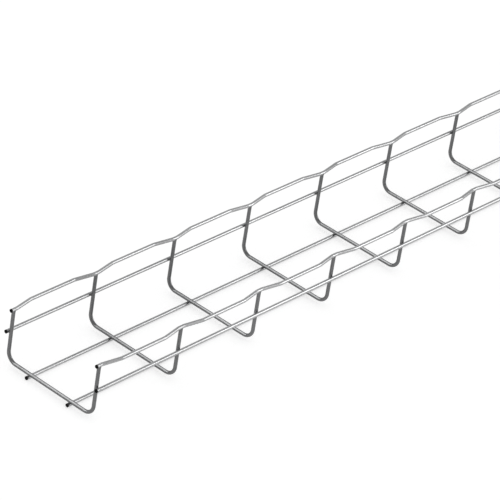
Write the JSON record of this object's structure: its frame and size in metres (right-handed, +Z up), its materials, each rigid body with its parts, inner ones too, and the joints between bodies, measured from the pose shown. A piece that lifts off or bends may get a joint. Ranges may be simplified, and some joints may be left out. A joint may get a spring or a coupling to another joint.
{
  "type": "wire mesh cable basket",
  "caption": "Straight length of welded wire basket tray, U-shaped, with a rectangular mesh and gently waved edge wires, that carries cables along walls and ceilings.",
  "frame": {"origin": "on the floor under the middle of the tray, at the underside of the floor wires, halfway along and halfway across", "axes": "+X along the tray, +Y across it to the left when looking along +X, +Z up out of the open top"},
  "size_m": [3.007, 0.1142, 0.0582],
  "materials": {
    "cross_wires": "bright zinc plate on drawn steel wire",
    "floor_wires": "bright zinc plate on drawn steel wire",
    "side_wires": "bright zinc plate on drawn steel wire",
    "edge_wires": "bright zinc plate on drawn steel wire"
  },
  "bodies": {
    "root": {"cross_wire_01": "cross_wires", "cross_wire_02": "cross_wires", "cross_wire_03": "cross_wires", "cross_wire_04": "cross_wires", "cross_wire_05": "cross_wires", "cross_wire_06": "cross_wires", "cross_wire_07": "cross_wires", "cross_wire_08": "cross_wires", "cross_wire_09": "cross_wires", "cross_wire_10": "cross_wires", "cross_wire_11": "cross_wires", "cross_wire_12": "cross_wires", "cross_wire_13": "cross_wires", "cross_wire_14": "cross_wires", "cross_wire_15": "cross_wires", "cross_wire_16": "cross_wires", "cross_wire_17": "cross_wires", "cross_wire_18": "cross_wires", "cross_wire_19": "cross_wires", "cross_wire_20": "cross_wires", "cross_wire_21": "cross_wires", "cross_wire_22": "cross_wires", "cross_wire_23": "cross_wires", "cross_wire_24": "cross_wires", "cross_wire_25": "cross_wires", "cross_wire_26": "cross_wires", "cross_wire_27": "cross_wires", "cross_wire_28": "cross_wires", "cross_wire_29": "cross_wires", "cross_wire_30": "cross_wires", "cross_wire_31": "cross_wires", "floor_wire_left": "floor_wires", "floor_wire_right": "floor_wires", "side_wire_left": "side_wires", "side_wire_right": "side_wires", "edge_wire_left": "edge_wires", "edge_wire_right": "edge_wires"}
  },
  "joints": []
}
